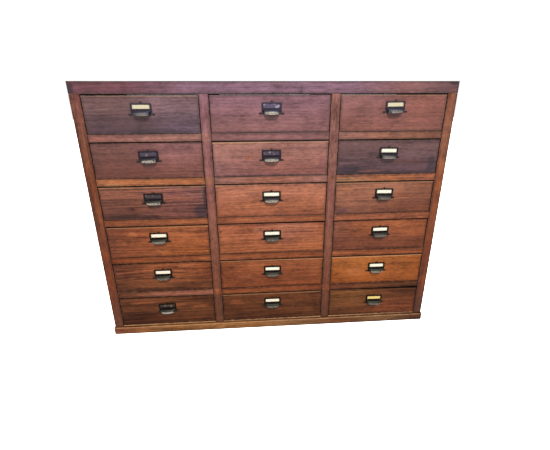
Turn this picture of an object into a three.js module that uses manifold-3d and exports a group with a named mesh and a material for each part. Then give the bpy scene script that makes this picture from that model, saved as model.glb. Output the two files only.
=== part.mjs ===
// An old apothecary cabinet: eighteen inset drawers, three columns of six, in a carcass of thick
// hardwood boards. The front edges of the boards are the frame that shows between the drawers.
// Every drawer slides out towards the front and carries a metal pull with a card holder above a
// hollow finger hood. Millimetres, X to the right, the front faces -Y, Z up from the floor.
import * as THREE from "three";
import { mergeVertices } from "three/addons/utils/BufferGeometryUtils.js";
import Module from "manifold-3d";

const wasm = await Module();
wasm.setup();

// Driving dimensions of the carcass.
const DEPTH = 420;
const SIDE_THICKNESS = 32;
const DIVIDER_THICKNESS = 30;
const OUTER_COLUMN = 348;
const CENTRE_COLUMN = 380;
const ROWS = 6;
const OPENING_HEIGHT = 116;
const RAIL_HEIGHT = 24;
const RAIL_DEPTH = 40;
const DUST_BOARD_THICKNESS = 10;
const TOP_HEIGHT = 36;
const TOP_BOARD_THICKNESS = 24;
const BOTTOM_THICKNESS = 8;
const BASE_HEIGHT = 30;
const BASE_PROUD = 4;
const BACK_THICKNESS = 8;
const JOINT_GAP = 0.3;

// Driving dimensions of a drawer.
const DRAWER_DEPTH = 395;
const DRAWER_RECESS = 1;
const DRAWER_SIDE_GAP = 1.5;
const DRAWER_TOP_GAP = 3;
const DRAWER_FLOOR_GAP = 0.5;
const FRONT_THICKNESS = 20;
const DRAWER_SIDE_THICKNESS = 9;
const DRAWER_SIDE_HEIGHT = 100;
const DRAWER_SIDE_LAP = 12;
const DRAWER_SIDE_INSET = 1;
const DRAWER_BACK_THICKNESS = 9;
const DRAWER_BACK_HEIGHT = 90;
const DRAWER_BOTTOM_THICKNESS = 6;
const DRAWER_BOTTOM_LIFT = 5;

// Driving dimensions of a pull. Its own frame has its origin on the wood at the middle of the card.
const CARD_FRAME_WIDTH = 63;
const CARD_FRAME_HEIGHT = 21;
const CARD_FRAME_DEPTH = 3.2;
const CARD_FRAME_CORNER = 3;
const WINDOW_WIDTH = 52;
const WINDOW_HEIGHT = 12.5;
const WINDOW_DEPTH = 2.2;
const HOOD_WIDTH = 60;
const HOOD_LIP_WIDTH = 48;
const HOOD_HEIGHT = 16;
const HOOD_REACH = 16;
const HOOD_LIP_DROP = 4;
const HOOD_THICKNESS = 1.6;
const HOOD_SQUARENESS = 2.8;
const HOOD_OVERLAP = 1;
const ARC_STEPS = 5;
const EAR_RADIUS = 2.6;
const EAR_OFFSET = 37.6;
const EAR_DROP = 22.5;
const WING_DROP = 25;
const WING_INNER = 20;
const SHEET_THICKNESS = 1.4;
const EAR_STEPS = 8;
const TAB_RADIUS = 4;
const TAB_LIFT = 11.5;
const SCREW_RADIUS = 1.9;
const PIN_RADIUS = 1.7;
const HEAD_HEIGHT = 1;

// The pulls were fixed by hand: how far the middle of each card lies below the top of its opening,
// and how far to the right of the middle of its drawer, row by row from the top.
const CARD_DROPS = [
  [36, 35, 33],
  [38, 40, 37],
  [37, 38, 37],
  [36, 40, 37],
  [38, 40, 42],
  [40, 35, 43],
];
const CARD_SHIFTS = [
  [-1, 3, 5],
  [2, 1, 0],
  [0, 0, -1],
  [1, 1, -1],
  [-1, 1, 0],
  [-2, 0, 4],
];

const WIDTH = 2 * (SIDE_THICKNESS + OUTER_COLUMN + DIVIDER_THICKNESS) + CENTRE_COLUMN;
const HEIGHT =
  BASE_HEIGHT + BOTTOM_THICKNESS + ROWS * OPENING_HEIGHT + (ROWS - 1) * RAIL_HEIGHT + TOP_HEIGHT;
// The origin is midway between the tips of the pulls and the back, so the front of the frame is here.
const FRONT = (HOOD_REACH + JOINT_GAP - DRAWER_RECESS - DEPTH) / 2;
const BACK = FRONT + DEPTH;
const BACK_PANEL_FRONT = BACK - BACK_THICKNESS;
const RAIL_BACK = FRONT + RAIL_DEPTH;
const INNER_SIDE = WIDTH / 2 - SIDE_THICKNESS;
const BOTTOM_TOP = BASE_HEIGHT + BOTTOM_THICKNESS;
const TOP_UNDERSIDE = HEIGHT - TOP_HEIGHT;
const TOP_BOARD_UNDERSIDE = HEIGHT - TOP_BOARD_THICKNESS;
const ROW_PITCH = OPENING_HEIGHT + RAIL_HEIGHT;

const COLUMNS = [
  { name: "left", x0: -INNER_SIDE, x1: -INNER_SIDE + OUTER_COLUMN },
  { name: "centre", x0: -CENTRE_COLUMN / 2, x1: CENTRE_COLUMN / 2 },
  { name: "right", x0: INNER_SIDE - OUTER_COLUMN, x1: INNER_SIDE },
];

const finishes = {
  carcass: { color: 0x8a4526, roughness: 0.45, metalness: 0 },
  rail: { color: 0x96502c, roughness: 0.45, metalness: 0 },
  base: { color: 0x8f5a30, roughness: 0.55, metalness: 0 },
  drawer: { color: 0x7b4128, roughness: 0.42, metalness: 0 },
  pull: { color: 0x3a3a40, roughness: 0.4, metalness: 0.85 },
};

const cabinet = new THREE.Group();

function addPiece(name, geometry, finish, place = [0, 0, 0]) {
  const mesh = new THREE.Mesh(geometry, new THREE.MeshStandardMaterial(finishes[finish]));
  mesh.name = name;
  mesh.position.set(...place);
  cabinet.add(mesh);
}

// A box between two values on each axis.
function block([x0, x1], [y0, y1], [z0, z1]) {
  const box = new THREE.BoxGeometry(x1 - x0, y1 - y0, z1 - z0);
  return box.translate((x0 + x1) / 2, (y0 + y1) / 2, (z0 + z1) / 2);
}

// An outline pushed from one value to another along the third axis of the given basis.
function pushed(outline, [from, to], basis) {
  const shape = new THREE.Shape(outline.map(([u, v]) => new THREE.Vector2(u, v)));
  const solid = new THREE.ExtrudeGeometry(shape, { depth: to - from, bevelEnabled: false });
  const turn = new THREE.Matrix4().makeBasis(...basis.map((axis) => new THREE.Vector3(...axis)));
  return solid.translate(0, 0, from).applyMatrix4(turn);
}

const X = [1, 0, 0];
const Y = [0, 1, 0];
const Z = [0, 0, 1];
const FORWARD = [0, -1, 0];
// A side outline of (y, z) points pushed along X, and a front outline of (x, z) points pushed forward.
const sidewaysFrom = (outline, span) => pushed(outline, span, [Y, Z, X]);
const forwardFrom = (outline, span) => pushed(outline, span, [X, Z, FORWARD]);
const upwardFrom = (outline, span) => pushed(outline, span, [X, Y, Z]);

// A closed geometry as a solid that can be joined and cut.
function solidOf(geometry) {
  const bare = geometry.clone();
  bare.deleteAttribute("normal");
  bare.deleteAttribute("uv");
  const merged = mergeVertices(bare, 1e-4);
  const vertProperties = merged.attributes.position.array;
  const triVerts = new Uint32Array(merged.index.array);
  return new wasm.Manifold(new wasm.Mesh({ numProp: 3, vertProperties, triVerts }));
}

function geometryOf(solid) {
  const { vertProperties, triVerts } = solid.getMesh();
  const geometry = new THREE.BufferGeometry();
  geometry.setAttribute("position", new THREE.BufferAttribute(vertProperties, 3));
  geometry.setIndex(new THREE.BufferAttribute(triVerts, 1));
  geometry.computeVertexNormals();
  return geometry;
}

const joined = (geometries) => geometries.map(solidOf).reduce((whole, next) => whole.add(next));

// Points of an arc of an ellipse, with angles in turns of pi.
function arc([cu, cv], [ru, rv], [from, to], steps, squareness = 2) {
  const bend = (value) => Math.sign(value) * Math.abs(value) ** (2 / squareness);
  return Array.from({ length: steps + 1 }, (_, i) => {
    const angle = Math.PI * (from + ((to - from) * i) / steps);
    return [cu + ru * bend(Math.cos(angle)), cv + rv * bend(Math.sin(angle))];
  });
}

function roundedRectangle(width, height, radius) {
  const u = width / 2 - radius;
  const v = height / 2 - radius;
  const corners = [[u, v], [-u, v], [-u, -v], [u, -v]];
  return corners.flatMap((centre, i) => arc(centre, [radius, radius], [i / 2, (i + 1) / 2], 3));
}

// ---- Carcass ----

// The outline, seen from the side, of a board that stands under the top rail and the top board.
function standingOutline(underside, back) {
  return [
    [FRONT, underside],
    [back, underside],
    [back, TOP_BOARD_UNDERSIDE - JOINT_GAP],
    [RAIL_BACK + JOINT_GAP, TOP_BOARD_UNDERSIDE - JOINT_GAP],
    [RAIL_BACK + JOINT_GAP, TOP_UNDERSIDE - JOINT_GAP],
    [FRONT, TOP_UNDERSIDE - JOINT_GAP],
  ];
}

function makeTop() {
  const across = [-WIDTH / 2, WIDTH / 2];
  addPiece("top_rail", block(across, [FRONT, RAIL_BACK], [TOP_UNDERSIDE, HEIGHT]), "carcass");
  const behindRail = [RAIL_BACK + JOINT_GAP, BACK];
  addPiece("top_board", block(across, behindRail, [TOP_BOARD_UNDERSIDE, HEIGHT]), "carcass");
}

function makeSides() {
  const outline = standingOutline(BASE_HEIGHT + JOINT_GAP, BACK);
  addPiece("side_left", sidewaysFrom(outline, [-WIDTH / 2, -INNER_SIDE]), "carcass");
  addPiece("side_right", sidewaysFrom(outline, [INNER_SIDE, WIDTH / 2]), "carcass");
}

// The dividers reach the base only at their front edge, where the bottom board is notched for them.
function makeDividers() {
  const outline = standingOutline(BASE_HEIGHT + JOINT_GAP, BACK_PANEL_FRONT - JOINT_GAP);
  outline.splice(1, 1,
    [RAIL_BACK, BASE_HEIGHT + JOINT_GAP],
    [RAIL_BACK, BOTTOM_TOP + JOINT_GAP],
    [BACK_PANEL_FRONT - JOINT_GAP, BOTTOM_TOP + JOINT_GAP]);
  addPiece("divider_left", sidewaysFrom(outline, [COLUMNS[0].x1, COLUMNS[1].x0]), "carcass");
  addPiece("divider_right", sidewaysFrom(outline, [COLUMNS[1].x1, COLUMNS[2].x0]), "carcass");
}

function makeBottom() {
  const across = [-INNER_SIDE + JOINT_GAP, INNER_SIDE - JOINT_GAP];
  const under = [BASE_HEIGHT + JOINT_GAP, BOTTOM_TOP];
  const whole = solidOf(block(across, [FRONT, BACK_PANEL_FRONT - JOINT_GAP], under));
  const notchFor = (x0, x1) =>
    solidOf(block([x0 - JOINT_GAP, x1 + JOINT_GAP], [FRONT - 1, RAIL_BACK + JOINT_GAP],
      [BASE_HEIGHT, BOTTOM_TOP + 1]));
  const notched = whole
    .subtract(notchFor(COLUMNS[0].x1, COLUMNS[1].x0))
    .subtract(notchFor(COLUMNS[1].x1, COLUMNS[2].x0));
  addPiece("bottom_board", geometryOf(notched), "carcass");
}

function makeBase() {
  const across = [-WIDTH / 2 - BASE_PROUD, WIDTH / 2 + BASE_PROUD];
  addPiece("base_board", block(across, [FRONT - BASE_PROUD, BACK], [0, BASE_HEIGHT]), "base");
}

function makeBackPanel() {
  const across = [-INNER_SIDE + JOINT_GAP, INNER_SIDE - JOINT_GAP];
  const upright = [BASE_HEIGHT + JOINT_GAP, TOP_BOARD_UNDERSIDE - JOINT_GAP];
  addPiece("back_panel", block(across, [BACK_PANEL_FRONT, BACK], upright), "carcass");
}

const openingTop = (row) => TOP_UNDERSIDE - row * ROW_PITCH;
const openingFloor = (row) => openingTop(row) - OPENING_HEIGHT;

// A rail with the thin dust board behind it, flush on top, where the drawer above slides.
function makeRail(row, column) {
  const top = openingFloor(row);
  const back = BACK_PANEL_FRONT - JOINT_GAP;
  const outline = [
    [FRONT, top],
    [FRONT, top - RAIL_HEIGHT],
    [RAIL_BACK, top - RAIL_HEIGHT],
    [RAIL_BACK, top - DUST_BOARD_THICKNESS],
    [back, top - DUST_BOARD_THICKNESS],
    [back, top],
  ];
  const across = [column.x0 + JOINT_GAP, column.x1 - JOINT_GAP];
  addPiece(`rail_${row + 1}_${column.name}`, sidewaysFrom(outline, across), "rail");
}

// ---- Drawers ----

// Front, two sides let into it, back and bottom, glued up as one box.
function makeDrawer(row, column) {
  const x0 = column.x0 + DRAWER_SIDE_GAP;
  const x1 = column.x1 - DRAWER_SIDE_GAP;
  const left = x0 + DRAWER_SIDE_INSET;
  const right = x1 - DRAWER_SIDE_INSET;
  const front = FRONT + DRAWER_RECESS;
  const back = front + DRAWER_DEPTH;
  const lap = front + FRONT_THICKNESS - DRAWER_SIDE_LAP;
  const floor = openingFloor(row) + DRAWER_FLOOR_GAP;
  const sideTop = floor + DRAWER_SIDE_HEIGHT;
  const bottom = floor + DRAWER_BOTTOM_LIFT;
  const box = joined([
    block([x0, x1], [front, front + FRONT_THICKNESS], [floor, openingTop(row) - DRAWER_TOP_GAP]),
    block([left, left + DRAWER_SIDE_THICKNESS], [lap, back], [floor, sideTop]),
    block([right - DRAWER_SIDE_THICKNESS, right], [lap, back], [floor, sideTop]),
    block([left + 1, right - 1], [back - DRAWER_BACK_THICKNESS, back],
      [bottom, floor + DRAWER_BACK_HEIGHT]),
    block([left + 1, right - 1], [lap, back], [bottom, bottom + DRAWER_BOTTOM_THICKNESS]),
  ]);
  addPiece(`drawer_box_${row + 1}_${column.name}`, geometryOf(box), "drawer");
}

// ---- Pulls ----

// The card frame is a plate with a shallow window that the card lies in.
function cardFrame() {
  const plate = forwardFrom(
    roundedRectangle(CARD_FRAME_WIDTH, CARD_FRAME_HEIGHT, CARD_FRAME_CORNER), [0, CARD_FRAME_DEPTH]);
  const half = [WINDOW_WIDTH / 2, WINDOW_HEIGHT / 2];
  const window = block([-half[0], half[0]],
    [-CARD_FRAME_DEPTH - 1, WINDOW_DEPTH - CARD_FRAME_DEPTH], [-half[1], half[1]]);
  return solidOf(plate).subtract(solidOf(window));
}

// The space under the hood's surface, or under its inner surface when inset is the wall's thickness:
// a quarter-round section pushed across, rounded in plan and tapered in front view.
function hoodCore(inset, below, behind) {
  const top = -CARD_FRAME_HEIGHT / 2 + HOOD_OVERLAP;
  const lip = top - HOOD_HEIGHT;
  const shoulder = lip + HOOD_LIP_DROP;
  const reach = HOOD_REACH - inset;
  const half = HOOD_WIDTH / 2 - inset;
  const lipHalf = HOOD_LIP_WIDTH / 2 - inset;
  const section = [
    [behind, lip - below],
    [behind, top - inset],
    ...arc([0, shoulder], [-reach, top - inset - shoulder], [0.5, 0], ARC_STEPS),
    [-reach, lip - below],
  ];
  const plan = [
    [half, behind],
    [-half, behind],
    ...arc([0, 0], [-half, -reach], [0, 1], 2 * ARC_STEPS, HOOD_SQUARENESS),
  ];
  const face = [[-half, top], [-half, shoulder + 4], [-lipHalf, lip - below],
    [lipHalf, lip - below], [half, shoulder + 4], [half, top]];
  return solidOf(sidewaysFrom(section, [-half, half]))
    .intersect(solidOf(upwardFrom(plan, [lip - below, top])))
    .intersect(solidOf(forwardFrom(face, [-behind, reach])));
}

const hood = () => hoodCore(0, 0, 0).subtract(hoodCore(HOOD_THICKNESS, 1, 1));

// The sheet beside the hood: a wing that runs down from the card frame and ends in a round ear.
function wing(side) {
  const edge = CARD_FRAME_WIDTH / 2;
  const outline = [
    ...arc([EAR_OFFSET, -EAR_DROP], [EAR_RADIUS, EAR_RADIUS], [-0.5, 0.5], EAR_STEPS),
    [edge, EAR_RADIUS - EAR_DROP],
    [edge, CARD_FRAME_CORNER - CARD_FRAME_HEIGHT / 2],
    [WING_INNER, CARD_FRAME_CORNER - CARD_FRAME_HEIGHT / 2],
    [WING_INNER, -WING_DROP],
    [edge, -WING_DROP],
  ];
  const placed = side > 0 ? outline : outline.map(([x, z]) => [-x, z]);
  return solidOf(forwardFrom(placed, [0, SHEET_THICKNESS]));
}

function topTab() {
  const outline = [
    ...arc([0, TAB_LIFT], [TAB_RADIUS, TAB_RADIUS], [0, 1], EAR_STEPS),
    [-TAB_RADIUS, CARD_FRAME_HEIGHT / 2 - 1],
    [TAB_RADIUS, CARD_FRAME_HEIGHT / 2 - 1],
  ];
  return solidOf(forwardFrom(outline, [0, SHEET_THICKNESS]));
}

function head(radius, x, z) {
  const cone = new THREE.CylinderGeometry(radius, radius * 0.7, HEAD_HEIGHT * 2, EAR_STEPS);
  return solidOf(cone.translate(x, -SHEET_THICKNESS, z));
}

function pullGeometry() {
  let whole = cardFrame().add(hood()).add(topTab());
  for (const side of [-1, 1]) {
    whole = whole.add(wing(side)).add(head(SCREW_RADIUS, side * EAR_OFFSET, -EAR_DROP));
  }
  return geometryOf(whole.add(head(PIN_RADIUS, 0, TAB_LIFT + 1)));
}

function makePull(geometry, row, column) {
  const index = COLUMNS.indexOf(column);
  const x = (column.x0 + column.x1) / 2 + CARD_SHIFTS[row][index];
  const y = FRONT + DRAWER_RECESS - JOINT_GAP;
  const z = openingTop(row) - CARD_DROPS[row][index];
  addPiece(`pull_${row + 1}_${column.name}`, geometry, "pull", [x, y, z]);
}

makeTop();
makeSides();
makeDividers();
makeBottom();
makeBase();
makeBackPanel();
const pull = pullGeometry();
for (let row = 0; row < ROWS; row++) {
  for (const column of COLUMNS) {
    if (row < ROWS - 1) makeRail(row, column);
    makeDrawer(row, column);
    makePull(pull, row, column);
  }
}

export default cabinet;
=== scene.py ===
"""The visual model of an old apothecary cabinet: polished hardwood boards, eighteen inset drawers,
and blackened metal pulls with card frames.

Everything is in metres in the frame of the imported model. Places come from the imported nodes, and the
sizes and finishes that a user might change are properties of the scene.
"""

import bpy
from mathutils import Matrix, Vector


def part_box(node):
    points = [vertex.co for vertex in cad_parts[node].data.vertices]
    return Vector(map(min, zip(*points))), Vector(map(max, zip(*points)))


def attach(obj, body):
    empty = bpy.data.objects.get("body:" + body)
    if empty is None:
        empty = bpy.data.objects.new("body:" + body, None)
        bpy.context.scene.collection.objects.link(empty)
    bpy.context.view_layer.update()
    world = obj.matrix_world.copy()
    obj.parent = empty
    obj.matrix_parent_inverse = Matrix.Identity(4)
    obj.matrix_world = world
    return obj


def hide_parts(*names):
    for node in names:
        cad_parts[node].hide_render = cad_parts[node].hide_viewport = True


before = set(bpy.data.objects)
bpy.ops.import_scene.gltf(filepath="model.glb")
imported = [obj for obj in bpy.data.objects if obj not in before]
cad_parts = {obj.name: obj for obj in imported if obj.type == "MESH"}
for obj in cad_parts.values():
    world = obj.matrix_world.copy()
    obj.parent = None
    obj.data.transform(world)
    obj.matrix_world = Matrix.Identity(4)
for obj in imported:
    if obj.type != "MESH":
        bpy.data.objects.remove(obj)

import copy
import math

import bpy
import numpy as np
from bpy.props import FloatProperty, FloatVectorProperty, IntProperty, PointerProperty
from mathutils import Matrix, Vector

bl_info = {
    "name": "Apothecary Cabinet",
    "version": (1, 0, 0),
    "blender": (4, 5, 0),
    "location": "3D View > Sidebar > Cabinet",
    "description": "Builds the boards, drawers, pulls and cards of an apothecary cabinet",
    "category": "Add Mesh",
}

MM = 0.001
ROWS = range(1, 7)
COLUMNS = ("left", "centre", "right")
PLACES = [f"{row}_{column}" for row in ROWS for column in COLUMNS]
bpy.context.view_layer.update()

X, Y, Z = 0, 1, 2

# How wide the boards are that the top, and the sides and base, are glued up from.
TOP_BOARD_WIDTH = 127 * MM
SIDE_BOARD_WIDTH = 141 * MM

# Where things lie on a pull, from the middle of its card.
EAR_ACROSS = 37.6 * MM
EAR_UP = -22.5 * MM
EAR_RADIUS = 2.6 * MM
TAB_REACH = 15.5 * MM
SCREW_RADIUS = 1.9 * MM
PIN_RADIUS = 1.7 * MM
PIN_UP = 12.5 * MM

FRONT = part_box("top_rail")[0].y
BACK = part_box("side_left")[1].y
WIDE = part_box("top_rail")[1].x
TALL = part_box("top_rail")[1].z

# The stains that time has left in the wood, as a maker would name them. The mauve and violet
# tones that the upper rows and the top rail use also carry a painted reflection: the bluish sheen of
# the light on the varnish there is painted into their colour. soot is the near black of painted shade
# in the gaps.
STAINS = {
    "ink": "#43363f",
    "bog": "#44271b",
    "umber": "#583524",
    "walnut": "#683f2a",
    "peat": "#673f35",
    "hazel": "#744332",
    "fox": "#7d452d",
    "ember": "#793e23",
    "russet": "#764940",
    "cocoa": "#7b524d",
    "rust": "#845248",
    "sienna": "#845342",
    "chestnut": "#8a4e32",
    "nut": "#955739",
    "honey": "#965530",
    "ochre": "#94522a",
    "gold": "#a46235",
    "amber": "#9e5c3c",
    "clay": "#ab6944",
    "copper": "#a46145",
    "apricot": "#ad6f58",
    "tan": "#97644f",
    "salmon": "#a37167",
    "brick": "#8e5a51",
    "rose": "#906261",
    "mauve": "#8e6570",
    "violet": "#8b6778",
    "damson": "#784c54",
    "heather": "#84666c",
    "plum": "#725454",
    "slate": "#685260",
    "dusk": "#5c444a",
    "olive": "#744b2e",
    "oak": "#8e603b",
    "drab": "#76543a",
    "sand": "#c79b6e",
    "shade_black": "#1e1310",
    "dust": "#a78d7c",
    "pine": "#9c7650",
    "aged_pine": "#75573b",
}


def stain(name, strength=1.0, haze=0.0):
    """A named stain as a linear colour, less the haze that the gloss adds, times a strength."""
    parts = [int(STAINS[name][i : i + 2], 16) / 255 for i in (1, 3, 5)]
    linear = [c / 12.92 if c <= 0.04045 else ((c + 0.055) / 1.055) ** 2.4 for c in parts]
    return (*[max(c - haze, 0.3 * c) * strength for c in linear], 1.0)


class Look:
    """How one board was stained and has aged.

    top and foot are the stains along its upper and lower edge, from its left end to its right one, or
    from its foot to its head where the grain is upright. marks are (stain, x, z, half width, half
    height, strength) in millimetres on the front of the cabinet. worn says how pale each arris is, lit
    how strong the painted highlight under the upper arris is, and seam how dark the painted shade line
    along the front's edge is.
    """

    def __init__(self, top, foot="", streaks=0.5, figure=0.4, worn=0.5, marks=(), square=(), lean=0.0,
                 lit=0.0, seam=0.6):
        self.top, self.foot = top.split(), (foot or top).split()
        self.streaks, self.figure, self.worn = streaks, figure, worn
        self.marks, self.square, self.lean = marks, square, lean
        self.lit, self.seam = lit, seam

    def plus(self, mark):
        """The same look with one more mark."""
        other = copy.copy(self)
        other.marks = [*self.marks, mark]
        return other


# Rows 1 and 2 are stained in mauve, plum and violet tones that carry a painted reflection, the bluish
# sheen of the light on their varnish, besides their own colour.
DRAWER_LOOKS = {
    "1_left": Look("plum plum heather heather", "dusk dusk dusk slate slate", 0.5, 0.5, 0.8, [
        ("ink", -396, 745, 172, 7, 0.6), ("dust", -505, 812, 34, 2, 0.35),
        ("ink", -300, 800, 60, 5, 0.3)], lit=0.4),
    "1_centre": Look("mauve mauve mauve mauve", "rose rose rose rose", 0.3, 0.3, 0.5, [
        ("damson", 168, 790, 14, 22, 0.4), ("dusk", 0, 741, 186, 4, 0.5)]),
    "1_right": Look("rose rose brick brick", "brick brick brick rust", 0.3, 0.25, 0.5, [
        ("russet", 394, 741, 165, 3, 0.5)], lit=0.3),
    "2_left": Look("cocoa cocoa rose rose", "peat peat russet rust", 0.4, 0.4, 0.9, [
        ("russet", -420, 622, 120, 8, 0.4)]),
    "2_centre": Look("salmon salmon salmon", "rose brick brick", 0.35, 0.4, 0.6, [
        ("salmon", -160, 670, 22, 16, 0.4), ("copper", -72, 660, 26, 8, 0.5),
        ("dusk", 0, 601, 186, 5, 0.75), ("damson", 170, 640, 16, 30, 0.4)], lit=0.9),
    "2_right": Look("plum plum plum plum", "dusk dusk dusk dusk", 0.5, 0.5, 0.3, [
        ("ink", 262, 614, 48, 14, 0.85), ("ink", 548, 630, 20, 34, 0.8),
        ("ink", 394, 602, 168, 5, 0.8), ("brick", 340, 609, 46, 4, 0.6),
        ("peat", 470, 640, 70, 8, 0.4)]),
    "3_left": Look("sienna sienna brick cocoa", "peat peat russet russet", 0.8, 0.9, 0.5, [
        ("bog", -498, 468, 64, 8, 0.6), ("bog", -402, 467, 30, 6, 0.7), ("bog", -468, 494, 24, 9, 0.5),
        ("bog", -468, 494, 8, 5, 0.9), ("ink", -238, 480, 26, 26, 0.75), ("ink", -226, 532, 8, 40, 0.6),
        ("copper", -320, 528, 60, 8, 0.4)], lit=0.5),
    "3_centre": Look("apricot apricot apricot apricot", "copper copper copper copper", 0.35, 0.4, 0.6, [
        ("clay", 0, 500, 150, 18, 0.35), ("nut", 150, 464, 36, 6, 0.4)], lit=0.6),
    "3_right": Look("tan tan tan sienna", "sienna sienna hazel hazel", 0.6, 0.6, 0.4, [
        ("clay", 262, 547, 30, 7, 0.45), ("dusk", 248, 472, 30, 10, 0.5), ("clay", 520, 556, 40, 4, 0.4),
        ("fox", 440, 520, 80, 10, 0.35)], lit=0.4),
    "4_left": Look("hazel chestnut amber amber", "chestnut chestnut honey honey", 0.5, 0.7, 0.4, [
        ("amber", -522, 374, 26, 16, 0.5), ("clay", -484, 402, 22, 12, 0.45),
        ("clay", -392, 338, 26, 8, 0.4),
        ("hazel", -552, 390, 10, 36, 0.5)], lit=0.5),
    "4_centre": Look("copper copper apricot copper", "nut nut nut nut", 0.5, 0.7, 0.5, [
        ("umber", -180, 404, 6, 4, 0.7), ("apricot", -42, 408, 28, 14, 0.5),
        ("clay", 120, 360, 60, 8, 0.3),
        ("hazel", 0, 322, 186, 4, 0.5)], lean=2.2),
    "4_right": Look("sienna nut amber chestnut", "hazel hazel hazel fox", 0.5, 0.5, 0.5, [
        ("umber", 470, 322, 90, 5, 0.5), ("clay", 480, 410, 40, 5, 0.35)]),
    "5_left": Look("hazel nut amber fox", "walnut walnut walnut walnut", 0.9, 0.8, 0.8, [
        ("bog", -396, 185, 168, 7, 0.55), ("bog", -540, 236, 26, 5, 0.5),
        ("amber", -480, 262, 60, 5, 0.45),
        ("umber", -262, 220, 34, 10, 0.4)]),
    "5_centre": Look("chestnut nut nut nut", "fox fox fox fox", 0.5, 0.5, 0.5, [
        ("bog", -148, 259, 6, 4, 0.95), ("hazel", -148, 259, 20, 9, 0.5),
        ("copper", -96, 222, 30, 6, 0.4)], lit=0.6),
    "5_right": Look("gold gold gold ochre", "ochre ochre ochre ochre", 0.5, 0.5, 0.5, [
        ("clay", 312, 226, 46, 22, 0.35), ("chestnut", 470, 216, 40, 10, 0.35)], lit=0.9),
    "6_left": Look("walnut walnut walnut umber", "bog bog umber umber", 1.0, 0.9, 0.6, [
        ("amber", -372, 116, 44, 8, 0.55), ("amber", -276, 107, 34, 6, 0.55),
        ("amber", -470, 131, 60, 5, 0.35),
        ("bog", -489, 66, 78, 18, 0.6), ("bog", -300, 136, 60, 5, 0.5),
        ("bog", -545, 128, 20, 12, 0.5)]),
    "6_centre": Look("umber walnut walnut walnut", "umber umber umber walnut", 0.8, 0.8, 0.4, [
        ("chestnut", -138, 116, 32, 14, 0.5), ("bog", -105, 86, 74, 7, 0.55),
        ("bog", 172, 74, 14, 16, 0.5),
        ("fox", 60, 128, 60, 6, 0.4)], lit=0.5),
    "6_right": Look("olive olive walnut umber", "walnut walnut fox fox", 0.7, 0.8, 0.3, [
        ("olive", 300, 113, 60, 18, 0.4), ("bog", 520, 130, 62, 8, 0.6),
        ("amber", 470, 64, 90, 12, 0.35),
        ("bog", 420, 92, 30, 5, 0.5)], lean=4.5),
}

RAIL_LOOKS = {
    "1_left": Look("brick salmon salmon", streaks=0.4),
    "1_centre": Look("rose rose rose", streaks=0.4),
    "1_right": Look("salmon tan sienna", streaks=0.6, marks=[("plum", 420, 728, 16, 4, 0.5)]),
    "2_left": Look("clay clay clay", streaks=0.8, worn=0.9, marks=[("sand", -516, 581, 34, 2, 0.7)]),
    "2_centre": Look("salmon apricot salmon", streaks=0.4),
    "2_right": Look("apricot clay copper", streaks=0.6, worn=0.7, marks=[
        ("sand", 270, 576, 70, 14, 0.45), ("ink", 391, 575, 3, 2.5, 0.95)]),
    "3_left": Look("chestnut nut nut", streaks=0.5),
    "3_centre": Look("nut copper nut", streaks=0.5),
    "3_right": Look("copper copper amber", streaks=0.6),
    "4_left": Look("ember chestnut chestnut", streaks=0.6),
    "4_centre": Look("nut chestnut chestnut", streaks=0.5),
    "4_right": Look("nut chestnut chestnut", streaks=0.6),
    "5_left": Look("walnut sienna sienna", streaks=0.7),
    "5_centre": Look("fox chestnut fox", streaks=0.6),
    # The dark marks at the right of its lower edge are painted shade over the wide gap above the leaning
    # drawer below.
    "5_right": Look("hazel walnut umber", streaks=0.7, marks=[
        ("umber", 510, 158, 62, 12, 0.5), ("bog", 535, 154, 60, 7, 0.8)]),
}

# The dividers show a square of the rails' tone where a rail crosses them.
CROSSINGS = {1: "salmon", 2: "tan", 5: "chestnut"}
CARCASS_LOOKS = {
    # The top rail's damson and violet tones carry a painted bluish reflection besides their own colour.
    "top_rail": Look("damson damson violet violet violet violet rose dusk", streaks=0.5, marks=[
        ("dusk", 0, 889.5, 600, 2.6, 0.75),
        ("slate", 95, 864, 14, 16, 0.5), ("bog", 95, 864, 1.2, 22, 0.8), ("ink", -594, 872, 14, 19, 0.9),
        ("bog", 584, 884, 20, 7, 0.85), ("ink", 7, 856, 3.5, 3, 0.95)],
        square=[("rust", 582, 862, 13, 8, 0.5)]),
    "side_left": Look("walnut ember ember chestnut chestnut sienna brick", streaks=0.6),
    "side_right": Look("umber ember ember chestnut nut tan sienna", streaks=0.6),
    "divider_left": Look("walnut hazel sienna brick rose mauve", streaks=0.5),
    "divider_right": Look("walnut hazel sienna brick salmon salmon", streaks=0.5),
    "bottom_board": Look("walnut walnut hazel walnut peat", streaks=0.5, worn=1.0, lit=1.0, seam=0.3),
    "base_board": Look("hazel oak oak oak drab walnut drab bog", streaks=0.9, worn=0.9, lit=0.8,
                       seam=0.1, marks=[
        ("umber", 580, 15, 30, 14, 0.6), ("bog", 120, 16, 30, 3, 0.5), ("bog", -250, 12, 24, 2, 0.5)]),
    "top_board": Look("russet rust russet rust russet", streaks=0.6),
}

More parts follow.
